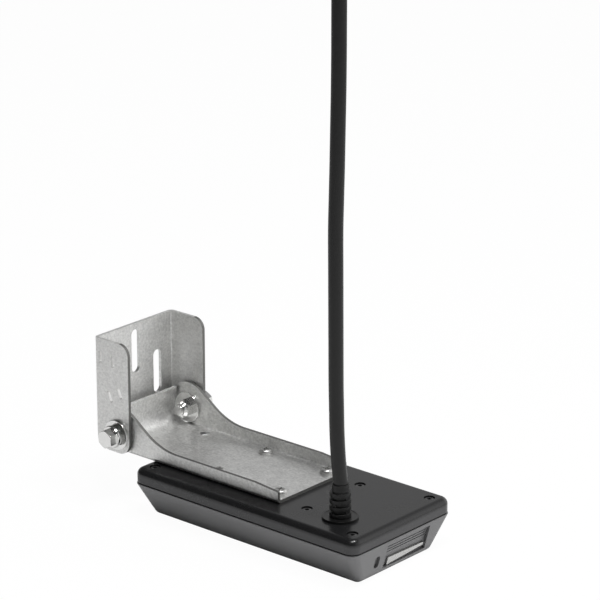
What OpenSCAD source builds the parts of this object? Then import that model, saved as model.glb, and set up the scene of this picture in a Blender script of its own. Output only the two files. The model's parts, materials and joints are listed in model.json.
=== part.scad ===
/* [Housing] */
// length of the cover, along X
body_length = 165.4; // [120:0.5:220]
// width of the cover, along Y
body_width = 86; // [60:0.5:110]
// height of the lower housing, up to the gasket
housing_height = 20.8; // [15:0.1:40]
// how far the housing stands out past the cover at the seam
seam_outset = 0.2; // [0:0.1:1.5]
// how far each end face leans in at the underside
end_inset = 5.5; // [2:0.1:10]
// how far each long side leans in at the underside
side_inset = 11.5; // [4:0.1:16]
// radius of the upright corners at the seam
corner_radius = 6; // [3:0.5:12]
// rounding of the edges round the underside
keel_round = 5; // [1:0.1:6]
// thickness of the floor over the sound window
floor_thickness = 2.6; // [1.5:0.1:5]
// thickness of the sloped side walls
side_wall = 3.2; // [2:0.1:6]
// thickness of the solid ends, measured at the underside
end_wall = 7.4; // [5:0.1:12]

/* [Cover] */
// height of the cover above the gasket
cover_height = 8.3; // [6:0.1:16]
// rounding of the cover's top edge
cover_round = 3.8; // [1:0.1:5]
// depth of the hollow under the cover
cover_hollow = 2; // [1:0.1:6]
// thickness of the gasket in the seam
gasket_thickness = 0.9; // [0.3:0.1:2]
// how far the gasket sits back from the seam
gasket_setback = 0.9; // [0.2:0.1:2]

/* [Cover screws] */
// head diameter of the cover screws
cover_head_d = 5.5; // [4:0.1:8]
// head height of the cover screws
cover_head_h = 2.5; // [1:0.1:4]
// thread diameter of the cover screws
cover_screw_d = 3; // [2:0.1:4]
// length of the cover screws under the head
cover_screw_length = 15; // [10:0.5:18]
// inset of the corner screws from the cover's ends
corner_screw_end = 8.7; // [5:0.5:14]
// inset of the corner screws from the cover's sides
corner_screw_side = 9.5; // [6:0.1:14]
// distance of the middle screws from the centre, along X
middle_screw_x = 32.2; // [24:0.1:44]
// distance of the middle screws from the centre line
middle_screw_y = 23; // [18:0.1:26]

/* [Transducer bracket] */
// thickness of both steel sheets
sheet = 2; // [1.5:0.1:3]
// inside radius of the folds in both sheets
inner_bend = 1; // [0.5:0.1:1.3]
// outer width across the two flanges
bracket_width = 59.6; // [40:0.1:70]
// front end of the base plate, along X
bracket_front = 16.5; // [0:0.5:40]
// height of the low flanges above the cover
flange_height = 8.8; // [5:0.1:14]
// drop of the flanges towards the front end
flange_drop = 1.6; // [0:0.1:4]
// length over which the flanges drop
flange_drop_run = 18; // [10:0.5:30]
// radius of the ears round the pivot
ear_radius = 15.4; // [13:0.1:18]
// slope of the ears down to the flanges, in degrees
ear_slope = 35; // [20:1:50]
// radius of the hollow curve between ear and flange
ear_blend = 40; // [10:1:60]
// length of the straight lip on the curled back wall
lip_length = 9.6; // [4:0.1:12]
// lean of that lip, in degrees
lip_lean = 8; // [0:1:20]
// slit between the curled wall and each ear
wall_slit = 1.4; // [0.5:0.1:3]
// diameter of the drain holes
drain_d = 6; // [3:0.1:10]

/* [Bracket screws] */
// head diameter of the bracket screws
bracket_head_d = 8; // [6:0.1:10]
// head height of the bracket screws
bracket_head_h = 2.8; // [1.5:0.1:4]
// thread diameter of the bracket screws
bracket_screw_d = 4; // [3:0.1:5]
// distance of the screws and drain holes from the centre line
bracket_screw_y = 20.1; // [14:0.1:24]
// front pair of bracket screws, along X
front_screw_x = 9.8; // [0:0.1:30]
// rear pair of bracket screws, along X
rear_screw_x = -36.8; // [-60:0.1:-20]
// pair of drain holes, along X
drain_x = -84.7; // [-92:0.1:-84]

/* [Pivot] */
// distance of the pivot from the centre, along X
pivot_x = -104.9; // [-115:0.1:-100]
// height of the pivot over the cover's top face
pivot_rise = 11.6; // [10.5:0.1:13]
// thread diameter of the pivot bolts
pivot_d = 6; // [5:0.1:8]
// width across the flats of bolt heads and nuts
hex_flats = 10; // [8:0.1:13]
// height of the hexagon on the bolt head
hex_height = 5.2; // [3:0.1:7]
// thickness of the flange under the bolt head
bolt_flange = 1.2; // [0.5:0.1:2]
// thickness of the pair of disc springs
spring_stack = 2.8; // [1.5:0.1:4]
// thickness of the washers under the springs
head_washer_h = 1.8; // [1:0.1:3]
// thickness of the washers under the nuts
nut_washer_h = 1.6; // [1:0.1:3]
// gap between the washers under the nuts and the base plate
nut_washer_gap = 0.4; // [0.2:0.1:2]
// diameter of the washers under the springs and between the ears
washer_d = 18; // [14:0.1:18.6]
// diameter of the disc springs at their rims
spring_d = 12.6; // [10:0.1:16]
// diameter of the disc springs at their seats
spring_seat_d = 9.2; // [8:0.1:9.8]
// thickness of the friction washers between the ears
friction_h = 0.8; // [0.4:0.1:2]
// height of the lock nuts
nut_height = 6; // [5:0.1:8]
// height of the collar on the lock nuts
nut_collar = 1.8; // [1:0.1:2.5]

/* [Transom bracket] */
// gap from the pivot to the back plate's inner face
back_gap = 15.9; // [15.8:0.1:20]
// reach of the ears in front of the pivot
ear_reach = 9.4; // [8:0.1:11]
// height of the channel's top over the cover's top face
channel_top = 67.8; // [50:0.1:90]
// gap from the pivot down to the foot of the ears
ear_foot = 11.4; // [9:0.1:11.5]
// height of the back plate's lower edge over the pivot
back_edge = 0.4; // [0:0.1:6]
// width of the three screw slots
slot_width = 6.6; // [5:0.1:8]
// length of the three screw slots
slot_length = 27; // [15:0.5:34]
// distance of the side slots from the middle slot
slot_pitch = 18.2; // [14:0.1:20]
// height of the middle slot's centre over the pivot
middle_slot_rise = 39; // [32:0.1:40]
// height of the side slots' centres over the pivot
side_slot_rise = 21.6; // [18:0.1:32]
// width of the cable tie slots
tie_width = 2.2; // [1.5:0.1:4]
// length of the cable tie slots
tie_length = 7.2; // [5:0.1:9]

/* [Cable] */
// cable diameter
cable_d = 8.3; // [5:0.1:10]
// inset of the cable gland from the cover's front end
gland_end = 28.1; // [24:0.1:34]
// inset of the cable gland from the cover's near side
gland_side = 22.1; // [18.5:0.1:26]
// diameter of the gland's flange
gland_d = 20.6; // [18:0.1:26]
// height of the gland's rim over the cover
gland_rim = 1.4; // [1:0.1:3]
// height of the ribbed boot's top over the cover
boot_top = 20.4; // [16:0.1:30]
// diameter of the boot's lowest rib
boot_d = 12.3; // [10.5:0.1:15]
// length of the plug on the cable's end
plug_length = 38; // [34:1:50]
// diameter of the plug's barrel
plug_d = 19; // [17:0.1:22]

/* [Temperature sensor] */
// near end of the pocket in the end face, along Y
pocket_near = -13; // [-25:0.1:-5]
// far end of the pocket in the end face, along Y
pocket_far = 24; // [10:0.1:26]
// depth of the pocket
pocket_depth = 1.7; // [1:0.1:3.5]
// thickness of the metal strip in the pocket
strip_thickness = 1.2; // [0.5:0.1:2]

/* [Clearances] */
// gap all round a screw in its hole
screw_gap = 0.2; // [0.1:0.05:0.6]
// gap all round a screw head in its pocket
head_gap = 0.45; // [0.2:0.05:1]
// gap all round the pivot bolts in the sheets
pivot_gap = 0.3; // [0.15:0.05:0.6]
// gap all round the gland in the cover
gland_gap = 0.2; // [0.1:0.05:0.6]
// gap all round a thread in its nut or insert
thread_gap = 0.1; // [0.05:0.05:0.2]
// gap all round the cable in the gland
cable_gap = 0.3; // [0.1:0.05:0.6]

/* [Hidden] */
$fn = 64;
eps = 0.01;
seam_top = housing_height + gasket_thickness;
cover_top = seam_top + cover_height;
seam_length = body_length + 2 * seam_outset;
seam_width = body_width + 2 * seam_outset;
seam_band = 0.4;
seam_corner_x = seam_length / 2 - corner_radius;
seam_corner_y = seam_width / 2 - corner_radius;
side_lean = atan(side_inset / housing_height);
end_lean = atan(end_inset / housing_height);
foot_length = seam_length / 2 - end_inset;
foot_width = seam_width / 2 - side_inset;
ball_z = keel_round - 0.1;
ball_x = foot_length + ball_z * tan(end_lean) - keel_round / cos(end_lean);
ball_y = foot_width + ball_z * tan(side_lean) - keel_round / cos(side_lean);
cavity_end = foot_length - end_wall;
cavity_foot = foot_width + floor_thickness * tan(side_lean) - side_wall / cos(side_lean);
cavity_rim = cavity_foot + (housing_height - floor_thickness) * tan(side_lean);
ceiling = seam_top + cover_hollow;
cover_side_wall = 8.3;
hollow_half = body_width / 2 - cover_side_wall;
gasket_length = body_length - 2 * gasket_setback;
gasket_width = body_width - 2 * gasket_setback;
boss_r = 3.9;
insert_wall = 0.8;
insert_length = 8;
insert_r = cover_screw_d / 2 + thread_gap + insert_wall;
head_recess = 0.7;
socket_depth = 1.3;
cover_seat = cover_top - cover_head_h - head_recess;
corner_screw_x = body_length / 2 - corner_screw_end;
corner_screw_y = body_width / 2 - corner_screw_side;

plate_top = cover_top + sheet;
pivot_z = cover_top + pivot_rise;
flange_top = cover_top + flange_height;
flange_y = bracket_width / 2;
ear_inner = flange_y - sheet;
fold_radius = sheet + inner_bend;
cover_insert_length = 5;
head_round = 1.7;
cross_length = 4.8;
cross_width = 1;
cross_depth = 1.4;
cross_turn = 20;
cover_insert_r = bracket_screw_d / 2 + thread_gap + insert_wall;
bracket_screw_length = sheet + cover_insert_length;
curl_outer = pivot_rise;
curl_inner = curl_outer - sheet;
ear_relief = 0.6;
ear_top_x = pivot_x + ear_radius * sin(ear_slope);
ear_top_z = pivot_z + ear_radius * cos(ear_slope);
ear_foot_x = ear_top_x + (ear_top_z - flange_top) / tan(ear_slope);
blend_run = ear_blend * tan(ear_slope / 2);
drop_start = bracket_front - flange_drop_run;
ear_bottom = cover_top + fold_radius + ear_relief;
ear_cut = asin((pivot_z - ear_bottom) / ear_radius);

channel_inner = flange_y + friction_h;
channel_outer = channel_inner + sheet;
back_inner = pivot_x - back_gap;
back_outer = back_inner - sheet;
ear_front = pivot_x + ear_reach;
channel_roof = cover_top + channel_top;
foot_z = pivot_z - ear_foot;
back_z = pivot_z + back_edge;
roof_corner = 7;
foot_corner = 8;
tie_lean = -25;
tie_places = [[-12.9, 44.9, 0], [-2.8, 43.9, 0], [-5.5, 22, tie_lean], [2.2, 25.8, tie_lean]];
washer_bore = pivot_d / 2 + pivot_gap;
spring_seat = channel_outer + head_washer_h;
flange_seat = spring_seat + spring_stack;
hex_seat = flange_seat + bolt_flange;
head_face = hex_seat + hex_height;
bolt_proud = 1.6;
nut_seat = ear_inner - nut_washer_h;
nut_face = nut_seat - nut_height;
bolt_end = nut_face - bolt_proud;
hex_r = hex_flats / 2 / cos(30);
hex_bevel = 1;
bolt_flange_lip = 1;
bevel_r = hex_r - hex_bevel;
bevel_slope = tan(60);
nut_washer_d = 2 * (pivot_rise - sheet - nut_washer_gap);
washer_edge = 0.8 * inner_bend;
collar_r = hex_flats / 2 - 0.2;
collar_round = 0.8;

gland_x = body_length / 2 - gland_end;
gland_y = gland_side - body_width / 2;
gland_stem_r = 7;
gland_nut_r = 11;
gland_web = 1.2;
gland_wall = 1.1;
gland_seal_h = 0.7;
gland_seal_r = gland_d / 2 - 1.4;
gland_bore = cable_d / 2 + cable_gap;
gland_seat = cover_top + gland_web;
gland_nut_h = 3.6;
stem_end = ceiling - gland_nut_h - 0.4;
boot_z = cover_top + boot_top;
rib_count = 4;
rib_pitch = 4;
rib_height = 2.4;
rib_foot = 0.2;
rib_step = 0.15;
boot_wall = 0.55;
web_width = 3;
web_setback = 0.6;
web_height = rib_pitch - rib_height + 2 * eps;
collar_wall = 0.75;
collar_height = 2;
cable_start = cover_top + 6;
cable_straight = 8;
core_d = 1.6;
core_spread = 2.1;
core_count = 4;
plug_z = 334;
plug_offset = [-1.4, -1.2];
plug_face = plug_z + plug_length;
plug_socket = 10;
plug_barrel = 13;
insert_depth = 7;
plug_nose = 10;
nose_step = 0.5;
nose_r = plug_d / 2 - nose_step;
plug_wall = 2;
plug_cuff = 1.4;
shoulder_step = 1.5;
ring_wall = 1.2;
ring_height = 9;
pin_recess = 1;
plug_shoulder = plug_length - plug_nose - plug_barrel;
pin_d = 1.3;
pin_count = 8;
tube_sides = 12;
tube_step = 0.5;
bow = [
  [0, 0, cable_start],
  [0, 0, boot_z - cable_straight],
  [0, 0, boot_z],
  [-0.9, -0.8, 65],
  [-1.5, -1.3, 80],
  [-1.8, -1.5, 95],
  [-2.0, -1.7, 110],
  [-2.1, -1.8, 130],
  [-2.2, -1.9, 150],
  [-2.3, -2.0, 172],
  [-2.4, -2.1, 195],
  [-2.2, -1.9, 212],
  [-1.9, -1.7, 230],
  [-1.7, -1.5, 250],
  [-1.5, -1.3, 270],
  [plug_offset[0], plug_offset[1], 290],
  [plug_offset[0], plug_offset[1], 312],
  [plug_offset[0], plug_offset[1], plug_z]
];

array_gap = 10;
array_length = 2 * (cavity_end - array_gap);
array_height = 10;
array_thickness = 4;
array_rise = 6;
chirp_r = 13;
chirp_gap = 8;
chirp_top_gap = 2.2;
chirp_x = cavity_end - chirp_gap - chirp_r;
down_width = 18;
down_height = 6;
down_gap = 9;
down_rear_gap = 19;
down_front = chirp_x - chirp_r - down_gap;
down_rear = down_rear_gap - cavity_end;
board_thickness = 1.6;
terminal_height = 3.4;
terminal_gap = 0.9;
terminal_z = stem_end - terminal_gap - terminal_height;
board_z = terminal_z - board_thickness;
chirp_height = board_z - floor_thickness - chirp_top_gap;
absorber_end = 4;
absorber_side = 7;
absorber_z = floor_thickness + down_height;
absorber_height = board_z - absorber_z;
board_front_gap = 5;
board_rear_gap = 17;
board_rear = board_rear_gap - cavity_end;
board_front = cavity_end - board_front_gap;
board_width = 36;
terminal_length = 12;
terminal_width = 9;
tab_margin = 0.6;
tab_rear = gland_x - terminal_length;
tab_near = gland_y - terminal_width / 2 - tab_margin;
strip_foot = 4.4;
strip_near_gap = 4;
strip_far_gap = 1.6;
strip_near = pocket_near + strip_near_gap;
strip_far = pocket_far - strip_far_gap;
strip_near_height = 4.8;
strip_far_foot = 6.6;
strip_far_height = 1.8;
pocket_foot = 3.9;
pocket_top_gap = 2.2;
pocket_height = housing_height / cos(end_lean) - pocket_foot - pocket_top_gap;
groove_top = pocket_foot + pocket_height;
groove_count = 4;
groove_pitch = 1.7;
groove_width = 0.6;
groove_depth = 0.5;
groove_end = 1.2;
bead_r = 1.8;
bead_inset = 8;
bead_rise = 2.2;
bead_y = strip_near + bead_inset;
bead_z = strip_foot + bead_rise;
bead_length = 3.6;
vent_r = 2.1;
vent_half = 1.8;
vent_gap = 6.8;
vent_y = pocket_near - vent_gap;
vent_z = 10.4;

// Catmull-Rom point along the cable's route, t counts whole route points
function route_at(t) =
  let (last = len(bow) - 1, i = min(floor(t), last - 1), s = t - i)
  let (p0 = bow[max(i - 1, 0)], p1 = bow[i], p2 = bow[i + 1], p3 = bow[min(i + 2, last)])
  p1 + 0.5 * s * (p2 - p0) + s * s * (p0 - 2.5 * p1 + 2 * p2 - 0.5 * p3)
  + s * s * s * (1.5 * (p1 - p2) + 0.5 * (p3 - p0));

// points along an arc, from one angle to another
function arc_points(centre, r, from, to, count) = [
  for (k = [0 : count])
    let (a = from + (to - from) * k / count)
    centre + r * [cos(a), sin(a)]
];

// one level ring of the cable's skin
function ring_at(p) = [
  for (k = [0 : tube_sides - 1])
    [gland_x + p[0] + cable_d / 2 * cos(360 * k / tube_sides),
     gland_y + p[1] + cable_d / 2 * sin(360 * k / tube_sides), p[2]]
];

module at_corner_screws() {
  for (sx = [-1, 1], sy = [-1, 1])
    translate([sx * corner_screw_x, sy * corner_screw_y, 0])
      children();
}

module at_middle_screws() {
  for (sy = [-1, 1])
    translate([middle_screw_x, sy * middle_screw_y, 0])
      children();
}

module at_cover_screws() {
  at_corner_screws()
    children();
  at_middle_screws()
    children();
}

module at_bracket_screws() {
  for (x = [front_screw_x, rear_screw_x], sy = [-1, 1])
    translate([x, sy * bracket_screw_y, 0])
      children();
}

module at_gland() {
  translate([gland_x, gland_y, 0])
    children();
}

module at_plug() {
  translate([gland_x + plug_offset[0], gland_y + plug_offset[1], 0])
    children();
}

// local Z runs outward along the pivot, on both sides
module at_pivots() {
  for (a = [90, -90])
    translate([pivot_x, 0, pivot_z])
      rotate([a, 0, 0])
        children();
}

// local X is the end face's outward normal, local Z runs up the face
module at_end_face() {
  translate([foot_length, 0, 0])
    rotate([0, end_lean, 0])
      children();
}

module along_x(from, length) {
  translate([from, 0, 0])
    rotate([90, 0, 90])
      linear_extrude(length)
        children();
}

module along_y(width) {
  translate([0, width / 2, 0])
    rotate([90, 0, 0])
      linear_extrude(width)
        children();
}

module ring(outer, inner, z0, z1) {
  difference() {
    translate([0, 0, z0])
      cylinder(r = outer, h = z1 - z0);
    translate([0, 0, z0 - 1])
      cylinder(r = inner, h = z1 - z0 + 2);
  }
}

module round_rect(l, w, r) {
  square([l - 2 * r, w], center = true);
  square([l, w - 2 * r], center = true);
  for (sx = [-1, 1], sy = [-1, 1])
    translate([sx * (l / 2 - r), sy * (w / 2 - r)])
      circle(r);
}

module top_round(w, h, r) {
  translate([-w / 2, 0])
    square([w, h - r]);
  translate([r - w / 2, 0])
    square([w - 2 * r, h]);
  for (s = [-1, 1])
    translate([s * (w / 2 - r), h - r])
      circle(r);
}

module bottom_round(w, h, r) {
  translate([-w / 2, r])
    square([w, h - r]);
  translate([r - w / 2, 0])
    square([w - 2 * r, h]);
  for (s = [-1, 1])
    translate([s * (w / 2 - r), r])
      circle(r);
}

module channel_section(w, h, r) {
  difference() {
    bottom_round(w, h, r);
    translate([0, sheet])
      bottom_round(w - 2 * sheet, h, r - sheet);
  }
}

// cuts one corner of an outline to a quarter round
module corner_cut(x, z, r, sx, sz) {
  difference() {
    translate([x - (sx > 0 ? r : 1), z - (sz > 0 ? r : 1)])
      square(r + 1);
    translate([x - sx * r, z - sz * r])
      circle(r);
  }
}

module rounded_block(l, w, h) {
  for (sx = [-1, 1], sy = [-1, 1])
    translate([sx * (l / 2 - corner_radius), sy * (w / 2 - corner_radius), 0])
      rotate_extrude()
        intersection() {
          top_round(2 * corner_radius, h, cover_round);
          square([corner_radius, h]);
        }
  along_x(corner_radius - l / 2, l - 2 * corner_radius)
    top_round(w, h, cover_round);
  along_y(w - 2 * corner_radius)
    top_round(l, h, cover_round);
}

module housing_shell() {
  difference() {
    hull() {
      for (sx = [-1, 1], sy = [-1, 1]) {
        translate([sx * ball_x, sy * ball_y, ball_z])
          sphere(keel_round, $fn = 48);
        translate([sx * seam_corner_x, sy * seam_corner_y, housing_height - seam_band])
          cylinder(r = corner_radius, h = seam_band, $fn = 48);
      }
    }
    translate([0, 0, -keel_round])
      cube([2 * seam_length, 2 * seam_width, 2 * keel_round], center = true);
  }
}

module housing_hollow() {
  difference() {
    along_x(-cavity_end, 2 * cavity_end)
      polygon([
        [-cavity_foot, floor_thickness], [cavity_foot, floor_thickness],
        [cavity_rim, housing_height], [cavity_rim, housing_height + 1],
        [-cavity_rim, housing_height + 1], [-cavity_rim, housing_height]
      ]);
    at_middle_screws()
      cylinder(r = boss_r, h = seam_top);
  }
}

module lower_housing() {
  color("dimgray")
    difference() {
      union() {
        difference() {
          housing_shell();
          housing_hollow();
        }
        at_middle_screws()
          translate([0, 0, floor_thickness])
            cylinder(r = boss_r, h = seam_top - floor_thickness);
      }
      at_cover_screws()
        translate([0, 0, housing_height - insert_length])
          cylinder(r = insert_r, h = insert_length + 2);
      at_cover_screws()
        translate([0, 0, housing_height - insert_length - 2])
          cylinder(r = cover_screw_d / 2 + screw_gap, h = insert_length);
      at_end_face() {
        translate([-pocket_depth, pocket_near, pocket_foot])
          cube([pocket_depth + 4, pocket_far - pocket_near, pocket_height]);
        for (k = [1 : groove_count])
          translate([-pocket_depth - groove_depth, pocket_near + groove_end, groove_top - groove_pitch * k])
            cube([groove_depth + 1, pocket_far - pocket_near - 2 * groove_end, groove_width]);
        translate([-pocket_depth - bead_length, bead_y, bead_z])
          rotate([0, 90, 0])
            cylinder(r = bead_r, h = bead_length + 1);
        for (dz = [-vent_half, vent_half])
          translate([-pocket_depth, vent_y, vent_z + dz])
            rotate([0, 90, 0])
              cylinder(r = vent_r, h = pocket_depth + 4);
        translate([-pocket_depth, vent_y - vent_r, vent_z - vent_half])
          cube([pocket_depth + 4, 2 * vent_r, 2 * vent_half]);
      }
    }
}

module top_cover() {
  color([0.3, 0.3, 0.3])
    difference() {
      translate([0, 0, seam_top])
        rounded_block(body_length, body_width, cover_height);
      difference() {
        translate([-cavity_end, -hollow_half, seam_top - 1])
          cube([2 * cavity_end, 2 * hollow_half, cover_hollow + 1]);
        at_middle_screws()
          cylinder(r = boss_r, h = cover_top);
      }
      at_cover_screws()
        translate([0, 0, seam_top - 1])
          cylinder(r = cover_screw_d / 2 + screw_gap, h = cover_height + 2);
      at_cover_screws()
        translate([0, 0, cover_seat])
          cylinder(r = cover_head_d / 2 + head_gap, h = cover_head_h + 2);
      at_bracket_screws()
        translate([0, 0, cover_top - cover_insert_length])
          cylinder(r = cover_insert_r, h = cover_insert_length + 1);
      at_gland()
        translate([0, 0, seam_top])
          cylinder(r = gland_stem_r + gland_gap, h = cover_height + 1);
    }
}

module cover_gasket() {
  color([0.05, 0.05, 0.05])
    difference() {
      translate([0, 0, housing_height])
        linear_extrude(gasket_thickness)
          round_rect(gasket_length, gasket_width, corner_radius - gasket_setback);
      translate([-cavity_end, -hollow_half, housing_height - 1])
        cube([2 * cavity_end, 2 * hollow_half, 3]);
      at_corner_screws()
        translate([0, 0, housing_height - 1])
          cylinder(r = cover_screw_d / 2 + screw_gap, h = 3);
    }
}

module side_array(side) {
  translate([0, side * cavity_foot, floor_thickness])
    rotate([-side * side_lean, 0, 0])
      translate([-array_length / 2, side > 0 ? -array_thickness : 0, array_rise])
        cube([array_length, array_thickness, array_height]);
}

module port_side_array() {
  color("tan")
    side_array(1);
}

module starboard_side_array() {
  color("tan")
    side_array(-1);
}

module down_array() {
  color("tan")
    translate([down_rear, -down_width / 2, floor_thickness])
      cube([down_front - down_rear, down_width, down_height]);
}

module chirp_element() {
  color("khaki")
    translate([chirp_x, 0, floor_thickness])
      cylinder(r = chirp_r, h = chirp_height);
}

module acoustic_absorber() {
  color("sienna")
    translate([down_rear - absorber_end, -down_width / 2 - absorber_side, absorber_z])
      cube([down_front - down_rear + 2 * absorber_end, down_width + 2 * absorber_side, absorber_height]);
}

module circuit_board() {
  color("darkgreen")
    translate([0, 0, board_z]) {
      translate([board_rear, -board_width / 2, 0])
        cube([board_front - board_rear, board_width, board_thickness]);
      translate([tab_rear, tab_near, 0])
        cube([board_front - tab_rear, -tab_near, board_thickness]);
    }
}

module cable_terminal() {
  color("ivory")
    translate([gland_x - terminal_length / 2, gland_y - terminal_width / 2, terminal_z])
      cube([terminal_length, terminal_width, terminal_height]);
}

module cable_cores() {
  color("firebrick")
    at_gland()
      for (k = [0 : core_count - 1])
        rotate(360 * k / core_count + 45)
          translate([core_spread, 0, terminal_z + terminal_height])
            cylinder(d = core_d, h = cable_start - terminal_z - terminal_height, $fn = 24);
}

module temperature_strip() {
  color("silver")
    at_end_face()
      along_x(-pocket_depth, strip_thickness)
        polygon([
          [strip_near, strip_foot], [strip_far, strip_far_foot],
          [strip_far, strip_far_foot + strip_far_height], [strip_near, strip_foot + strip_near_height]
        ]);
}

module thermistor() {
  color("black")
    at_end_face()
      translate([-pocket_depth - bead_length, bead_y, bead_z])
        rotate([0, 90, 0])
          cylinder(r = bead_r, h = bead_length);
}

module housing_inserts() {
  color("goldenrod")
    at_cover_screws()
      ring(insert_r, cover_screw_d / 2 + thread_gap, housing_height - insert_length, housing_height);
}

module cover_inserts() {
  color("goldenrod")
    at_bracket_screws()
      ring(cover_insert_r, bracket_screw_d / 2 + thread_gap, cover_top - cover_insert_length, cover_top);
}

module cover_screws() {
  color("silver")
    at_cover_screws() {
      difference() {
        translate([0, 0, cover_seat])
          cylinder(d = cover_head_d, h = cover_head_h);
        translate([0, 0, cover_seat + cover_head_h - socket_depth])
          cylinder(r = cover_head_d / 4, h = socket_depth + 1, $fn = 6);
      }
      translate([0, 0, cover_seat - cover_screw_length])
        cylinder(d = cover_screw_d, h = cover_screw_length);
    }
}

module bracket_side() {
  polygon(concat(
    [[bracket_front, cover_top - 1], [bracket_front, flange_top - flange_drop], [drop_start, flange_top]],
    arc_points([ear_foot_x + blend_run, flange_top + ear_blend], ear_blend, 270, 270 - ear_slope, 16),
    arc_points([pivot_x, pivot_z], ear_radius, 90 - ear_slope, 180 + ear_cut, 48),
    [[pivot_x, ear_bottom], [pivot_x, cover_top - 1]]
  ));
}

// a disc with a straight tongue leaving it on a tangent
module hook_outline(r, tongue) {
  circle(r);
  rotate(-lip_lean)
    translate([-r, 0])
      square([r, tongue]);
}

module curled_wall() {
  along_y(2 * (ear_inner - wall_slit))
    translate([pivot_x, pivot_z])
      intersection() {
        difference() {
          hook_outline(curl_outer, lip_length);
          hook_outline(curl_inner, lip_length + 2 * sheet);
        }
        translate([-2 * curl_outer, -2 * curl_outer])
          square([2 * curl_outer, 4 * curl_outer]);
      }
}

module transducer_bracket() {
  color("lightgray")
    difference() {
      union() {
        intersection() {
          translate([0, 0, cover_top])
            along_x(pivot_x - ear_radius - 1, bracket_front - pivot_x + ear_radius + 2)
              channel_section(bracket_width, 2 * ear_radius, fold_radius);
          along_y(bracket_width + 2)
            bracket_side();
        }
        curled_wall();
      }
      at_pivots()
        translate([0, 0, ear_inner - 2])
          cylinder(r = washer_bore, h = sheet + 4);
      at_bracket_screws()
        translate([0, 0, cover_top - 1])
          cylinder(r = bracket_screw_d / 2 + screw_gap, h = sheet + 2);
      for (sy = [-1, 1])
        translate([drain_x, sy * bracket_screw_y, cover_top - 1])
          cylinder(d = drain_d, h = sheet + 2);
    }
}

module bracket_screws() {
  color("silver")
    at_bracket_screws() {
      difference() {
        translate([0, 0, plate_top])
          rotate_extrude()
            intersection() {
              top_round(bracket_head_d, bracket_head_h, head_round);
              square([bracket_head_d, bracket_head_h]);
            }
        for (a = [0, 90])
          rotate(a + cross_turn)
            translate([-cross_length / 2, -cross_width / 2, plate_top + bracket_head_h - cross_depth])
              cube([cross_length, cross_width, cross_depth + 1]);
      }
      translate([0, 0, plate_top - bracket_screw_length])
        cylinder(d = bracket_screw_d, h = bracket_screw_length);
    }
}

module cable_gland() {
  color([0.1, 0.1, 0.1])
    at_gland()
      difference() {
        union() {
          ring(gland_d / 2, gland_d / 2 - gland_wall, cover_top, cover_top + gland_rim);
          translate([0, 0, cover_top])
            cylinder(r = gland_d / 2 - gland_wall + eps, h = gland_web);
          translate([0, 0, stem_end])
            cylinder(r = gland_stem_r, h = cover_top + gland_web / 2 - stem_end);
        }
        cylinder(r = gland_bore, h = boot_z);
        ring(gland_seal_r, gland_stem_r + gland_gap, cover_top - 1, cover_top + gland_seal_h);
      }
}

module gland_seal() {
  color([0.05, 0.05, 0.05])
    at_gland()
      ring(gland_seal_r, gland_stem_r + gland_gap, cover_top, cover_top + gland_seal_h);
}

module gland_nut() {
  color([0.1, 0.1, 0.1])
    at_gland()
      difference() {
        translate([0, 0, ceiling - gland_nut_h])
          cylinder(r = gland_nut_r, h = gland_nut_h, $fn = 6);
        translate([0, 0, ceiling - gland_nut_h - 1])
          cylinder(r = gland_stem_r + thread_gap, h = gland_nut_h + 2);
      }
}

module strain_relief() {
  color([0.1, 0.1, 0.1])
    at_gland()
      difference() {
        union() {
          translate([0, 0, gland_seat])
            cylinder(r = cable_d / 2 + boot_wall, h = boot_z - gland_seat);
          for (k = [0 : rib_count - 1])
            translate([0, 0, gland_seat + rib_foot + rib_pitch * k])
              cylinder(d1 = boot_d - rib_step * k, d2 = boot_d - rib_step * (k + 0.6), h = rib_height);
          for (k = [1 : rib_count - 1])
            rotate(90 * k)
              translate([0, 0, gland_seat + rib_foot + rib_pitch * k - web_height / 2])
                cube([web_width, boot_d - rib_step * k - 2 * web_setback, web_height], center = true);
          translate([0, 0, boot_z - collar_height])
            cylinder(r = cable_d / 2 + collar_wall, h = collar_height);
        }
        translate([0, 0, gland_seat - 1])
          cylinder(d = cable_d, h = boot_top + 2);
      }
}

module cable() {
  last = len(bow) - 1;
  rings = [for (t = [0 : tube_step : last]) ring_at(route_at(t))];
  count = len(rings);
  points = [for (r = rings) each r];
  walls = [
    for (j = [0 : count - 2], k = [0 : tube_sides - 1])
      let (n = (k + 1) % tube_sides)
      [j * tube_sides + k, (j + 1) * tube_sides + k, (j + 1) * tube_sides + n, j * tube_sides + n]
  ];
  foot = [for (k = [0 : tube_sides - 1]) k];
  head = [for (k = [tube_sides - 1 : -1 : 0]) (count - 1) * tube_sides + k];
  color([0.08, 0.08, 0.08])
    polyhedron(points, concat(walls, [foot, head]));
}

module plug_body() {
  color([0.1, 0.1, 0.1])
    at_plug()
      difference() {
        union() {
          translate([0, 0, plug_z])
            cylinder(r1 = cable_d / 2 + plug_cuff, r2 = plug_d / 2 - shoulder_step, h = plug_shoulder);
          translate([0, 0, plug_z + plug_shoulder])
            cylinder(d = plug_d, h = plug_barrel);
          translate([0, 0, plug_face - plug_nose - 1])
            cylinder(r = nose_r, h = plug_nose + 1);
        }
        translate([0, 0, plug_face - plug_socket])
          cylinder(r = plug_d / 2 - plug_wall, h = plug_socket + 1);
      }
}

module plug_ring() {
  color("silver")
    at_plug()
      ring(plug_d / 2 + ring_wall, plug_d / 2, plug_face - plug_nose - ring_height, plug_face - plug_nose);
}

module plug_insert() {
  color([0.2, 0.2, 0.2])
    at_plug()
      translate([0, 0, plug_face - plug_socket])
        cylinder(r = plug_d / 2 - plug_wall, h = insert_depth);
}

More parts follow.
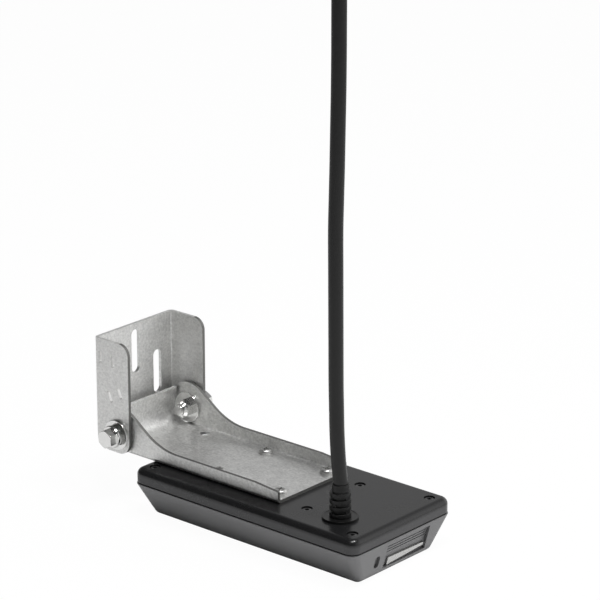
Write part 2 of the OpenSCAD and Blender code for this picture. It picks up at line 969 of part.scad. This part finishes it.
module plug_pins() {
  color("gold")
    at_plug()
      for (k = [0 : pin_count - 1])
        rotate(360 * k / pin_count)
          translate([plug_d / 4, 0, plug_face - plug_socket + insert_depth])
            cylinder(d = pin_d, h = plug_socket - insert_depth - pin_recess, $fn = 24);
}

module ear_outline() {
  difference() {
    translate([back_outer, foot_z])
      square([ear_front - back_outer, channel_roof - foot_z]);
    corner_cut(ear_front, channel_roof, roof_corner, 1, 1);
    corner_cut(ear_front, foot_z, foot_corner, 1, -1);
    corner_cut(back_outer, foot_z, ear_foot, -1, -1);
  }
}

// upright slot through the back plate, centred on its height
module screw_slot(y, rise) {
  translate([back_outer - 2, y, pivot_z + rise]) {
    for (s = [-1, 1])
      translate([0, 0, s * (slot_length - slot_width) / 2])
        rotate([0, 90, 0])
          cylinder(d = slot_width, h = sheet + 4);
    translate([0, -slot_width / 2, (slot_width - slot_length) / 2])
      cube([sheet + 4, slot_width, slot_length - slot_width]);
  }
}

// slot through the near ear, leaning by the given angle
module tie_slot(x, rise, lean) {
  translate([pivot_x + x, -channel_inner + 2, pivot_z + rise])
    rotate([90, lean, 0])
      linear_extrude(sheet + 4)
        round_rect(tie_width, tie_length, tie_width / 2 - eps);
}

module transom_bracket() {
  color("lightgray")
    difference() {
      intersection() {
        translate([back_outer, 0, foot_z - 1])
          linear_extrude(channel_roof - foot_z + 2)
            rotate(-90)
              channel_section(2 * channel_outer, ear_front - back_outer + 1, fold_radius);
        along_y(2 * channel_outer + 2)
          ear_outline();
      }
      translate([back_outer - 1, -channel_inner, foot_z - 1])
        cube([fold_radius + 1, 2 * channel_inner, back_z - foot_z + 1]);
      at_pivots()
        translate([0, 0, channel_inner - 1])
          cylinder(r = washer_bore, h = sheet + 2);
      screw_slot(0, middle_slot_rise);
      for (s = [-1, 1])
        screw_slot(s * slot_pitch, side_slot_rise);
      for (place = tie_places)
        tie_slot(place[0], place[1], place[2]);
    }
}

module pivot_bolts() {
  color("silver")
    at_pivots() {
      translate([0, 0, bolt_end])
        cylinder(d = pivot_d, h = flange_seat - bolt_end + eps);
      translate([0, 0, flange_seat])
        cylinder(r1 = hex_r + bolt_flange_lip, r2 = hex_r + bolt_flange_lip / 2, h = bolt_flange);
      intersection() {
        translate([0, 0, hex_seat])
          rotate(30)
            cylinder(r = hex_r, h = hex_height, $fn = 6);
        translate([0, 0, hex_seat - 1])
          cylinder(r1 = bevel_r + (hex_height + 1) * bevel_slope, r2 = bevel_r, h = hex_height + 1);
      }
    }
}

module head_washers() {
  color("silver")
    at_pivots()
      ring(washer_d / 2, washer_bore, channel_outer, spring_seat);
}

module disc_springs() {
  color("darkgray")
    at_pivots()
      difference() {
        union() {
          translate([0, 0, spring_seat])
            cylinder(d1 = spring_seat_d, d2 = spring_d, h = spring_stack / 2);
          translate([0, 0, spring_seat + spring_stack / 2])
            cylinder(d1 = spring_d, d2 = spring_seat_d, h = spring_stack / 2);
        }
        translate([0, 0, spring_seat - 1])
          cylinder(r = washer_bore, h = spring_stack + 2);
      }
}

module friction_washers() {
  color([0.12, 0.12, 0.12])
    at_pivots()
      ring(washer_d / 2, washer_bore, flange_y, channel_inner);
}

module nut_washers() {
  color("silver")
    at_pivots()
      difference() {
        union() {
          translate([0, 0, nut_seat])
            cylinder(d = nut_washer_d, h = nut_washer_h - washer_edge);
          translate([0, 0, ear_inner - washer_edge])
            cylinder(d1 = nut_washer_d, d2 = nut_washer_d - 2 * washer_edge, h = washer_edge);
        }
        translate([0, 0, nut_seat - 1])
          cylinder(r = washer_bore, h = nut_washer_h + 2);
      }
}

module lock_nuts() {
  color("silver")
    at_pivots()
      difference() {
        union() {
          translate([0, 0, nut_face + nut_collar])
            rotate(30)
              cylinder(r = hex_r, h = nut_height - nut_collar, $fn = 6);
          translate([0, 0, nut_face])
            cylinder(r1 = collar_r - collar_round, r2 = collar_r, h = nut_collar);
        }
        translate([0, 0, nut_face - 1])
          cylinder(r = pivot_d / 2 + thread_gap, h = nut_height + 2);
      }
}

lower_housing();
top_cover();
cover_gasket();
port_side_array();
starboard_side_array();
down_array();
chirp_element();
acoustic_absorber();
circuit_board();
cable_terminal();
cable_cores();
temperature_strip();
thermistor();
housing_inserts();
cover_inserts();
cover_screws();
transducer_bracket();
bracket_screws();
cable_gland();
gland_seal();
gland_nut();
strain_relief();
cable();
plug_body();
plug_ring();
plug_insert();
plug_pins();
transom_bracket();
pivot_bolts();
head_washers();
disc_springs();
friction_washers();
nut_washers();
lock_nuts();
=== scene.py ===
import json
import math

import bmesh
import bpy
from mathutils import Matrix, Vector


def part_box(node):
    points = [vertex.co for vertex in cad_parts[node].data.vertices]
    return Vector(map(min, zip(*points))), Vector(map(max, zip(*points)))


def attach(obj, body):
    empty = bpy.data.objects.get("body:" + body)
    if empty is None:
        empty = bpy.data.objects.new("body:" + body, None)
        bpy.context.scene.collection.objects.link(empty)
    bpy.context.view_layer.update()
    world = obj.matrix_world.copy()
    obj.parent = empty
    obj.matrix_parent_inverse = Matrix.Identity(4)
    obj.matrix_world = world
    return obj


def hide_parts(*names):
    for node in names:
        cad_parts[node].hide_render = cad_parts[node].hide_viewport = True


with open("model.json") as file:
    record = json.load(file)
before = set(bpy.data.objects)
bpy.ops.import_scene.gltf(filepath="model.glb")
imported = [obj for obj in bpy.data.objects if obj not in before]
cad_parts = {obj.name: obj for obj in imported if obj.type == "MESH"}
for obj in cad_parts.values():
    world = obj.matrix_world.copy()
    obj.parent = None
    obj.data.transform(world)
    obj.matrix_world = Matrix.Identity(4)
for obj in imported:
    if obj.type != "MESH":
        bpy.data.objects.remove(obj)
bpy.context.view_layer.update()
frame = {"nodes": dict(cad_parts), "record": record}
nodes = frame["nodes"]
scene = bpy.context.scene
bodies = frame["record"]["behaviour"]["bodies"]
bodyOf = {name: body for body, names in bodies.items() for name in names}
slotOf = {row["node"]: row["material_slot"] for row in frame["record"]["subparts"]}


# camera, at the photograph's viewing angle

cameraView = {
    "place": (1.0108, -1.1578, 0.6618),
    "tilt": 71.217,
    "turn": 40.922,
    "lens": 175.24,
    "sensor": 36,
}


def addCamera(view):
    data = bpy.data.cameras.new("camera")
    data.lens = view["lens"]
    data.sensor_width = view["sensor"]
    camera = bpy.data.objects.new("camera", data)
    camera.location = view["place"]
    camera.rotation_euler = (math.radians(view["tilt"]), 0, math.radians(view["turn"]))
    scene.collection.objects.link(camera)
    scene.camera = camera


addCamera(cameraView)


def middleOf(node):
    low, high = (Vector(corner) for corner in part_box(node))
    return (low + high) / 2


# cable, from the gland's boot up to its plug

cableRun = {
    "diameter": 0.0083,
    "steps": 12,
    "sides": 7,
    "handleParts": 6,  # a handle is a sixth of the way between a point's neighbours
    "offsets": [  # beside the gland's middle, with the height above the floor
        (0, 0, 0.036), (0, 0, 0.0424), (0, 0, 0.0504),
        (-0.0009, -0.0008, 0.065), (-0.0015, -0.0013, 0.08), (-0.0018, -0.0015, 0.095),
        (-0.002, -0.0017, 0.11), (-0.0021, -0.0018, 0.13), (-0.0022, -0.0019, 0.15),
        (-0.0023, -0.002, 0.172), (-0.0024, -0.0021, 0.195), (-0.0022, -0.0019, 0.212),
        (-0.0019, -0.0017, 0.23), (-0.0017, -0.0015, 0.25), (-0.0015, -0.0013, 0.27),
        (-0.0014, -0.0012, 0.29), (-0.0014, -0.0012, 0.312), (-0.0014, -0.0012, 0.334),
    ],
    "plug": ["plug_body_finished", "plug_ring_finished", "plug_insert", "plug_pins", "gripRibs"],
}


def runCable(run):
    gland = middleOf("cable_gland")
    points = [Vector((gland.x + x, gland.y + y, z)) for x, y, z in run["offsets"]]
    data = bpy.data.curves.new("cableRun", "CURVE")
    data.dimensions = "3D"
    data.bevel_depth = 1.0  # times each point's radius
    data.bevel_resolution = run["sides"]
    data.resolution_u = run["steps"]
    data.use_fill_caps = True
    spline = data.splines.new("BEZIER")
    last = len(points) - 1
    spline.bezier_points.add(last)
    length = 0
    for i, knot in enumerate(spline.bezier_points):
        reach = (points[min(i + 1, last)] - points[max(i - 1, 0)]) / run["handleParts"]
        knot.handle_left_type = knot.handle_right_type = "FREE"
        knot.co = points[i]
        knot.radius = run["diameter"] / 2
        knot.handle_left = points[i] - reach
        knot.handle_right = points[i] + reach
        length += (points[i] - points[i - 1]).length if i else 0
    cable = bpy.data.objects.new("cableRun", data)
    scene.collection.objects.link(cable)
    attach(cable, bodyOf["cable"])
    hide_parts("cable")
    return cable, points[0], length


cable, cableStart, cableLength = runCable(cableRun)
print("cable: one taut run up to its plug")


# a socket with arithmetic, and one method that makes any other node

class Wire:
    def __init__(self, tree, socket=None):
        self.tree = tree
        self.socket = socket

    def node(self, kind, settings=None, values=None, out=0):
        item = self.tree.nodes.new(kind)
        for key, value in (settings or {}).items():
            setattr(item, key, value)
        for key, value in (values or {}).items():
            if isinstance(value, Wire):
                self.tree.links.new(value.socket, item.inputs[key])
            else:
                item.inputs[key].default_value = value
        return Wire(self.tree, item.outputs[out] if len(item.outputs) else None)

    def beside(self, name):  # another output of the same node
        return Wire(self.tree, self.socket.node.outputs[name])

    def sum(self, operation, first, second):
        return self.node("ShaderNodeMath", {"operation": operation}, {0: first, 1: second})

    def __add__(self, other):
        return self.sum("ADD", self, other)

    def __radd__(self, other):
        return self.sum("ADD", other, self)

    def __sub__(self, other):
        return self.sum("SUBTRACT", self, other)

    def __rsub__(self, other):
        return self.sum("SUBTRACT", other, self)

    def __mul__(self, other):
        return self.sum("MULTIPLY", self, other)

    def __rmul__(self, other):
        return self.sum("MULTIPLY", other, self)

    def clip(self, low, high):
        values = {0: self, 1: low, 2: high, 3: 0.0, 4: 1.0}
        return self.node("ShaderNodeMapRange", {"clamp": True}, values)


def startMaterial(name):
    material = bpy.data.materials.new(name)
    material.use_nodes = True
    tree = material.node_tree
    tree.nodes.clear()
    return material, Wire(tree)


def closeMaterial(pen, values):
    shader = pen.node("ShaderNodeBsdfPrincipled", {}, values)
    pen.node("ShaderNodeOutputMaterial", {}, {"Surface": shader})


def grey(level):
    return (level, level, level, 1)


def tint(colour, factor=1):
    return (*(min(1, part * factor) for part in colour), 1)


def blend(pen, factor, first, second):
    values = {0: factor, 6: first, 7: second}  # 6 and 7 are the Mix node's colours
    return pen.node("ShaderNodeMix", {"data_type": "RGBA"}, values, out=2)


def blendAround(pen, factor, look):
    low = tint(look["colour"], 1 - look["spread"])
    high = tint(look["colour"], 1 + look["spread"])
    return blend(pen, factor, low, high)


def objectPlace(pen):
    return pen.node("ShaderNodeTexCoord", out="Object")


def noise(pen, place, size, detail=2.0, roughness=0.5):
    values = {"Vector": place, "Scale": 1 / size, "Detail": detail, "Roughness": roughness}
    return pen.node("ShaderNodeTexNoise", {}, values)


def bumpOf(pen, height, strength, depth):
    return pen.node("ShaderNodeBump", {}, {"Strength": strength, "Distance": depth, "Height": height})


# moulded plastic and rubber: a fine grain, broad patches of sheen, faint rubbed specks

mouldedSkin = {
    "patchDetail": 3.0,
    "speckGrains": 6,  # a speck's size, in grains
    "speckDetail": 4.0,
    "speckRoughness": 0.65,
    "speckEdge": (0.62, 0.74),
    "speckTint": 2.2,
    "patchSheen": 0.1,
    "grainSheen": 0.06,
    "grainDepth": 0.15,  # of a grain's size
}


def moulded(name, look, skin):
    material, pen = startMaterial(name)
    place = objectPlace(pen)
    grain = noise(pen, place, look["grain"])
    patches = noise(pen, place, look["patch"], skin["patchDetail"])
    speckSize = look["grain"] * skin["speckGrains"]
    specks = noise(pen, place, speckSize, skin["speckDetail"], skin["speckRoughness"])
    colour = blendAround(pen, patches, look)
    rubbed = specks.clip(*skin["speckEdge"]) * look["specks"]
    colour = blend(pen, rubbed, colour, tint(look["colour"], skin["speckTint"]))
    # painted reflection: below a given height the colour is painted lighter, standing in for the floor
    # mirrored in an upright side
    if "paintedLightBand" in look:
        height = pen.node("ShaderNodeSeparateXYZ", {}, {"Vector": place}, out="Z")
        colour = blend(pen, height.clip(*look["paintedLightBand"]["edge"]), tint(look["paintedLightBand"]["colour"]), colour)
    rough = look["rough"] + skin["patchSheen"] * (patches - 0.5) + skin["grainSheen"] * (grain - 0.5)
    bump = bumpOf(pen, grain, look["bump"], look["grain"] * skin["grainDepth"])
    closeMaterial(pen, {"Base Color": colour, "Roughness": rough, "Normal": bump,
                        "Specular IOR Level": look["gloss"]})
    return material


# rolled or machined metal: streaks along the grain, cloudy mill patches

rolledSkin = {
    "streakShare": 0.4,
    "cloudShare": 0.2,
    "grainShare": 0.4,
    "edge": (0.36, 0.64),
    "detail": 3.0,
    "grainDetail": 2.0,
    "roughness": 0.6,
    "depth": 0.00002,
}


def rolled(name, look, skin):
    material, pen = startMaterial(name)
    place = objectPlace(pen)
    along = pen.node("ShaderNodeMapping", {}, {"Vector": place, "Scale": look["stretch"]})
    streaks = noise(pen, along, look["streak"], skin["detail"], skin["roughness"])
    clouds = noise(pen, place, look["cloud"], skin["detail"])
    grain = noise(pen, place, look["grain"], skin["grainDetail"], skin["roughness"])
    mixed = skin["streakShare"] * streaks + skin["cloudShare"] * clouds + skin["grainShare"] * grain
    mixed = mixed.clip(*skin["edge"])
    colour = blendAround(pen, mixed, look)
    rough = look["rough"] + look["uneven"] * (mixed - 0.5)
    bump = bumpOf(pen, mixed, look["bump"], skin["depth"])
    closeMaterial(pen, {"Base Color": colour, "Roughness": rough, "Metallic": 1.0, "Normal": bump})
    return material


mouldedLooks = {
    "cover_plastic": {
        "colour": (0.011, 0.011, 0.0115), "rough": 0.26, "gloss": 0.35, "grain": 0.0004, "patch": 0.02,
        "spread": 0.12, "specks": 0.12, "bump": 0.1,
        "paintedLightBand": {"edge": (0.0252, 0.0272), "colour": (0.05, 0.05, 0.052)}},  # painted reflection: the upright band is painted lighter where it mirrors the bright floor
    "housing_plastic": {
        "colour": (0.145, 0.145, 0.148), "rough": 0.36, "gloss": 0.5, "grain": 0.0004, "patch": 0.02,
        "spread": 0.1, "specks": 0.15, "bump": 0.12},
    "seal_rubber": {
        "colour": (0.01, 0.01, 0.01), "rough": 0.7, "gloss": 0.3, "grain": 0.0003, "patch": 0.01,
        "spread": 0.15, "specks": 0.1, "bump": 0.2},
    "gland_plastic": {
        "colour": (0.006, 0.006, 0.006), "rough": 0.3, "gloss": 0.3, "grain": 0.0003, "patch": 0.006,
        "spread": 0.15, "specks": 0.1, "bump": 0.1},
    "boot_rubber": {
        "colour": (0.006, 0.006, 0.006), "rough": 0.4, "gloss": 0.3, "grain": 0.0003, "patch": 0.006,
        "spread": 0.15, "specks": 0.1, "bump": 0.15},
    "cable_jacket": {
        "colour": (0.009, 0.009, 0.009), "rough": 0.36, "gloss": 0.3, "grain": 0.0005, "patch": 0.008,
        "spread": 0.2, "specks": 0.15, "bump": 0.25},
    "plug_plastic": {
        "colour": (0.015, 0.015, 0.015), "rough": 0.4, "gloss": 0.45, "grain": 0.0004, "patch": 0.008,
        "spread": 0.15, "specks": 0.12, "bump": 0.15},
    "washer_plastic": {
        "colour": (0.03, 0.03, 0.03), "rough": 0.45, "gloss": 0.4, "grain": 0.0003, "patch": 0.005,
        "spread": 0.1, "specks": 0.1, "bump": 0.1},
    "bead_plastic": {
        "colour": (0.012, 0.012, 0.012), "rough": 0.4, "gloss": 0.45, "grain": 0.0003, "patch": 0.004,
        "spread": 0.1, "specks": 0.1, "bump": 0.1},
    "terminal_plastic": {
        "colour": (0.62, 0.6, 0.52), "rough": 0.45, "gloss": 0.45, "grain": 0.0003, "patch": 0.005,
        "spread": 0.06, "specks": 0.0, "bump": 0.1},
    "core_wire": {
        "colour": (0.32, 0.04, 0.04), "rough": 0.4, "gloss": 0.45, "grain": 0.0003, "patch": 0.005,
        "spread": 0.1, "specks": 0.0, "bump": 0.1},
    "board_laminate": {
        "colour": (0.02, 0.11, 0.05), "rough": 0.3, "gloss": 0.5, "grain": 0.0005, "patch": 0.006,
        "spread": 0.2, "specks": 0.3, "bump": 0.1},
    "absorber_rubber": {
        "colour": (0.2, 0.11, 0.06), "rough": 0.8, "gloss": 0.2, "grain": 0.0012, "patch": 0.006,
        "spread": 0.3, "specks": 0.4, "bump": 0.6},
    "piezo_ceramic": {
        "colour": (0.55, 0.48, 0.36), "rough": 0.65, "gloss": 0.4, "grain": 0.0003, "patch": 0.01,
        "spread": 0.08, "specks": 0.2, "bump": 0.2},
}

rolledLooks = {
    "bracket_steel": {
        "colour": (0.7, 0.7, 0.69), "rough": 0.47, "uneven": 0.18, "streak": 0.0013, "cloud": 0.006,
        "grain": 0.0014, "stretch": (0.6, 1, 1), "spread": 0.2, "bump": 0.8},
    # painted shade: a dark copy of the bracket steel for the sheets' cut edges
    "edge_painted_shade": {
        "colour": (0.18, 0.18, 0.175), "rough": 0.55, "uneven": 0.1, "streak": 0.0005, "cloud": 0.004,
        "grain": 0.0004, "stretch": (1, 1, 1), "spread": 0.2, "bump": 0.3},
    "strip_steel": {
        "colour": (0.5, 0.5, 0.49), "rough": 0.36, "uneven": 0.12, "streak": 0.0004, "cloud": 0.004,
        "grain": 0.0004, "stretch": (1, 0.1, 1), "spread": 0.08, "bump": 0.1},
    "screw_steel": {
        "colour": (0.5, 0.5, 0.49), "rough": 0.4, "uneven": 0.14, "streak": 0.0004, "cloud": 0.003,
        "grain": 0.0003, "stretch": (1, 1, 0.2), "spread": 0.12, "bump": 0.1},
    "black_screw_steel": {
        "colour": (0.14, 0.14, 0.142), "rough": 0.34, "uneven": 0.14, "streak": 0.0004, "cloud": 0.003,
        "grain": 0.0003, "stretch": (1, 1, 0.2), "spread": 0.15, "bump": 0.1},
    "bolt_steel": {
        "colour": (0.74, 0.74, 0.73), "rough": 0.15, "uneven": 0.12, "streak": 0.0005, "cloud": 0.004,
        "grain": 0.0004, "stretch": (1, 0.15, 1), "spread": 0.12, "bump": 0.1},
    "spring_steel": {
        "colour": (0.46, 0.46, 0.45), "rough": 0.3, "uneven": 0.14, "streak": 0.0005, "cloud": 0.003,
        "grain": 0.0004, "stretch": (1, 0.2, 1), "spread": 0.12, "bump": 0.1},
    "ring_metal": {
        "colour": (0.66, 0.65, 0.62), "rough": 0.2, "uneven": 0.1, "streak": 0.0004, "cloud": 0.006,
        "grain": 0.0003, "stretch": (1, 1, 0.1), "spread": 0.08, "bump": 0.08},
    "insert_brass": {
        "colour": (0.6, 0.42, 0.16), "rough": 0.28, "uneven": 0.1, "streak": 0.0004, "cloud": 0.003,
        "grain": 0.0003, "stretch": (1, 1, 0.2), "spread": 0.1, "bump": 0.1},
    "pin_brass": {
        "colour": (0.8, 0.6, 0.22), "rough": 0.2, "uneven": 0.08, "streak": 0.0003, "cloud": 0.002,
        "grain": 0.0003, "stretch": (1, 1, 0.2), "spread": 0.06, "bump": 0.05},
}

finishes = {name: moulded(name, look, mouldedSkin) for name, look in mouldedLooks.items()}
finishes.update({name: rolled(name, look, rolledSkin) for name, look in rolledLooks.items()})


def paint(piece, slot):
    piece.data.materials.clear()
    piece.data.materials.append(finishes[slot])


for name, item in nodes.items():
    paint(item, slotOf[name])
paint(cable, "cable_jacket")
print("finishes:", len(finishes))


# pieces whose edges are broken by a small round

edgeRounds = {
    "transducer_bracket": 0.00025, "transom_bracket": 0.00025, "temperature_strip": 0.0002,
    "pivot_bolts": 0.00025, "lock_nuts": 0.0002, "head_washers": 0.00025, "nut_washers": 0.00025,
    "bracket_screws": 0.00012, "cover_screws": 0.00012, "cable_gland": 0.0003, "strain_relief": 0.0002,
    "plug_body": 0.0004, "plug_ring": 0.0003,
}

edgeWork = {"merge": 0.000002, "flatAngle": 0.5, "segments": 2, "sharpAngle": 35, "weight": 80}

# folded sheets: painted shade on the outline's cut edges, which get a dark copy of the steel; the walls of
# slots and holes and the wide edges that look up keep the bright steel, as they catch the light

sheetMetal = {
    "pieces": ["transducer_bracket", "transom_bracket"],
    "thickness": 0.002,
    "slack": 0.00003,
    "slotReach": 0.045,
    "brightReach": 0.05,
    "brightRise": 0.5,
}


def isThick(edge, look):
    return abs(edge.calc_length() - look["thickness"]) < look["slack"]


def reachOf(faces, axis):
    places = [corner.co[axis] for face in faces for corner in face.verts]
    return max(places) - min(places)


def isBrightEdge(face, look):
    return face.normal.z > look["brightRise"] and reachOf([face], 1) > look["brightReach"]


def cutEdges(work, look):
    walls = {face for face in work.faces if sum(isThick(edge, look) for edge in face.edges) > 1}
    found = set()
    while walls:
        ring, waiting = [], [walls.pop()]
        while waiting:
            face = waiting.pop()
            ring.append(face)
            shared = [edge for edge in face.edges if isThick(edge, look)]
            near = {other for edge in shared for other in edge.link_faces} & walls
            walls -= near
            waiting.extend(near)
        if max(reachOf(ring, axis) for axis in range(3)) > look["slotReach"]:
            found.update(face for face in ring if not isBrightEdge(face, look))
    return found


def bakeModifiers(piece):
    view = bpy.context.evaluated_depsgraph_get()
    mesh = bpy.data.meshes.new_from_object(piece.evaluated_get(view), depsgraph=view)
    piece.modifiers.clear()
    piece.data = mesh
    return piece


def roundEdges(node, width, way):
    mesh = nodes[node].data.copy()
    isSheet = node in sheetMetal["pieces"]
    if isSheet:
        mesh.materials.append(finishes["edge_painted_shade"])
    work = bmesh.new()
    work.from_mesh(mesh)
    bmesh.ops.remove_doubles(work, verts=work.verts, dist=way["merge"])
    flat = math.radians(way["flatAngle"])
    bmesh.ops.dissolve_limit(work, angle_limit=flat, verts=work.verts, edges=work.edges)
    # painted shade: these cut-edge faces take the dark copy of the steel
    dark = cutEdges(work, sheetMetal) if isSheet else set()
    for face in work.faces:
        face.smooth = True
        face.material_index = int(face in dark)
    work.to_mesh(mesh)
    work.free()
    piece = bpy.data.objects.new(node + "_finished", mesh)
    scene.collection.objects.link(piece)
    bevel = piece.modifiers.new("edges", "BEVEL")
    bevel.width = width
    bevel.segments = way["segments"]
    bevel.limit_method = "ANGLE"
    bevel.angle_limit = math.radians(way["sharpAngle"])
    weigh = piece.modifiers.new("shading", "WEIGHTED_NORMAL")
    weigh.mode = "FACE_AREA"
    weigh.weight = way["weight"]
    return bakeModifiers(piece)


for node, width in edgeRounds.items():
    piece = roundEdges(node, width, edgeWork)
    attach(piece, bodyOf[node])
    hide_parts(node)
print("rounded edges:", len(edgeRounds), "pieces")


# repeats, each grown by its own Geometry Nodes tree

def startTree(name, sizes):
    tree = bpy.data.node_groups.new(name, "GeometryNodeTree")
    kinds = {int: "NodeSocketInt", float: "NodeSocketFloat"}
    for label, value in sizes.items():
        tree.interface.new_socket(label, in_out="INPUT", socket_type=kinds[type(value)])
    tree.interface.new_socket("Material", in_out="INPUT", socket_type="NodeSocketMaterial")
    tree.interface.new_socket("Geometry", in_out="OUTPUT", socket_type="NodeSocketGeometry")
    pen = Wire(tree)
    given = pen.node("NodeGroupInput")
    return tree, pen, {label: given.beside(label) for label in [*sizes, "Material"]}


def closeTree(pen, shape, material):
    shape = pen.node("GeometryNodeRealizeInstances", {}, {"Geometry": shape})
    shape = pen.node("GeometryNodeSetMaterial", {}, {"Geometry": shape, "Material": material})
    pen.node("NodeGroupOutput", {}, {"Geometry": shape})


def growPiece(name, tree, sizes, slot, body):
    piece = bpy.data.objects.new(name, bpy.data.meshes.new(name))
    scene.collection.objects.link(piece)
    grow = piece.modifiers.new("grow", "NODES")
    grow.node_group = tree
    values = {**sizes, "Material": finishes[slot]}
    for item in tree.interface.items_tree:
        if item.in_out == "INPUT":
            grow[item.identifier] = values[item.name]
    bakeModifiers(piece)
    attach(piece, body)
    return piece


# grip ribs round the plug's ring

ringLow, ringHigh = (Vector(corner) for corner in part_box("plug_ring"))
ringMiddle = middleOf("plug_ring")
gripSizes = {
    "Ring radius": (ringHigh.x - ringLow.x) / 2,
    "Ribs": 40,
    "Rib sides": 8,
    "Rib radius": 0.0005,
    "Rib length": 0.0072,
    "Sunk": 0.6,  # of a rib's radius
    "East": ringMiddle.x,
    "North": ringMiddle.y,
    "Height": ringMiddle.z,
}


def gripTree(sizes):
    tree, pen, given = startTree("gripRibs", sizes)
    reach = given["Ring radius"] - given["Rib radius"] * given["Sunk"]
    circle = pen.node("GeometryNodeMeshCircle", {}, {"Vertices": given["Ribs"], "Radius": reach})
    rib = pen.node("GeometryNodeMeshCylinder", {}, {
        "Vertices": given["Rib sides"], "Side Segments": 1, "Fill Segments": 1,
        "Radius": given["Rib radius"], "Depth": given["Rib length"]})
    ribs = pen.node("GeometryNodeInstanceOnPoints", {}, {"Points": circle, "Instance": rib})
    place = pen.node("ShaderNodeCombineXYZ", {}, {0: given["East"], 1: given["North"], 2: given["Height"]})
    ribs = pen.node("GeometryNodeTransform", {}, {"Geometry": ribs, "Translation": place})
    closeTree(pen, ribs, given["Material"])
    return tree


growPiece("gripRibs", gripTree(gripSizes), gripSizes, "ring_metal", bodyOf["plug_ring"])


# thread turns on the bolts' ends, proud of the lock nuts

pivot = middleOf("pivot_bolts")
threadSizes = {
    "Turns": 1.4,
    "Turn steps": 28,
    "Pitch": 0.001,
    "Thread radius": 0.003,
    "Crest": 0.00022,
    "Crest sides": 6,
    "End": 0.01865,
    "East": pivot.x,
    "Height": pivot.z,
}


def threadTree(sizes):
    tree, pen, given = startTree("boltThreads", sizes)
    turns = pen.node("GeometryNodeCurveSpiral", {}, {
        "Resolution": given["Turn steps"], "Rotations": given["Turns"],
        "Start Radius": given["Thread radius"], "End Radius": given["Thread radius"],
        "Height": given["Turns"] * given["Pitch"]})
    crest = pen.node("GeometryNodeCurvePrimitiveCircle", {}, {
        "Resolution": given["Crest sides"], "Radius": given["Crest"]})
    thread = pen.node("GeometryNodeCurveToMesh", {}, {
        "Curve": turns, "Profile Curve": crest, "Fill Caps": True})
    joined = pen.node("GeometryNodeJoinGeometry")
    for side in (-1, 1):
        end = side * given["End"]
        place = pen.node("ShaderNodeCombineXYZ", {}, {0: given["East"], 1: end, 2: given["Height"]})
        turned = pen.node("GeometryNodeTransform", {}, {
            "Geometry": thread, "Translation": place, "Rotation": (-side * math.pi / 2, 0, 0)})
        tree.links.new(turned.socket, joined.socket.node.inputs[0])
    closeTree(pen, joined, given["Material"])
    return tree


growPiece("boltThreads", threadTree(threadSizes), threadSizes, "bolt_steel", bodyOf["pivot_bolts"])
print("repeats: grip ribs and bolt threads")


# floor, backdrop and light

studio = {
    "floorRadius": 12.0,
    "floorSides": 96,
    "floorWhite": 0.88,
    "seenGlow": 0.97,
    "mirrorGlow": 0.05,
    "dark": 0.05,
    "ceiling": (0.6, 0.8),
}

# soft walls of light: where each one stands, how wide it spreads and how bright it is
walls = {
    "back": {"toward": (-0.3, 0.954), "spread": (0.2, 0.7), "level": 0.53},
    "right": {"toward": (0.72, 0.69), "spread": (0.3, 0.95), "level": 1.12},
}

lamps = {
    "overhead": {"place": (0.45, 0.1, 1.4), "aim": (0, 0, 0.02), "size": (0.35, 0.3), "power": 12},
    "front": {"place": (0.34, -0.39, 1.42), "aim": (0, 0, 0.02), "size": (0.25, 0.2), "power": 9},
}


def addFloor(look):
    sides, radius = look["floorSides"], look["floorRadius"]
    bpy.ops.mesh.primitive_circle_add(vertices=sides, radius=radius, fill_type="NGON")
    floor = bpy.context.object
    floor.name = "floor"
    material, pen = startMaterial("floorWhite")
    rays = pen.node("ShaderNodeLightPath")
    mirrored = rays.beside("Is Glossy Ray") + rays.beside("Is Transmission Ray")
    glowing = rays.beside("Is Camera Ray") * look["seenGlow"] + mirrored * look["mirrorGlow"]
    matte = pen.node("ShaderNodeBsdfDiffuse", {}, {"Color": grey(look["floorWhite"])})
    glow = pen.node("ShaderNodeEmission", {}, {"Color": grey(1), "Strength": 1.0})
    shader = pen.node("ShaderNodeMixShader", {}, {0: glowing.clip(0.0, 1.0), 1: matte, 2: glow})
    pen.node("ShaderNodeOutputMaterial", {}, {"Surface": shader})
    floor.data.materials.append(material)


def addSky(look):
    world = bpy.data.worlds.new("studio")
    scene.world = world
    world.use_nodes = True
    world.node_tree.nodes.clear()
    pen = Wire(world.node_tree)
    direction = pen.node("ShaderNodeTexCoord", out="Generated")
    parts = pen.node("ShaderNodeSeparateXYZ", {}, {"Vector": direction})
    east, north, up = (parts.beside(axis) for axis in "XYZ")
    level = look["dark"]
    below = 1 - up.clip(*look["ceiling"])
    for wall in walls.values():
        facing = (east * wall["toward"][0] + north * wall["toward"][1]).clip(*wall["spread"])
        level = level + below * facing * wall["level"]
    rays = pen.node("ShaderNodeLightPath")
    level = level + rays.beside("Is Camera Ray") * (1 - level)
    sky = pen.node("ShaderNodeBackground", {}, {"Color": grey(1), "Strength": level})
    pen.node("ShaderNodeOutputWorld", {}, {"Surface": sky})


def addLamp(name, look):
    data = bpy.data.lights.new(name, "AREA")
    data.shape = "RECTANGLE"
    data.size, data.size_y = look["size"]
    data.energy = look["power"]
    lamp = bpy.data.objects.new(name, data)
    lamp.location = look["place"]
    aim = Vector(look["aim"]) - Vector(look["place"])
    lamp.rotation_euler = aim.to_track_quat("-Z", "Y").to_euler()
    scene.collection.objects.link(lamp)


addFloor(studio)
addSky(studio)
for name, look in lamps.items():
    addLamp(name, look)
scene.view_settings.view_transform = "Standard"
print("studio: floor, sky and", len(lamps), "lamps")
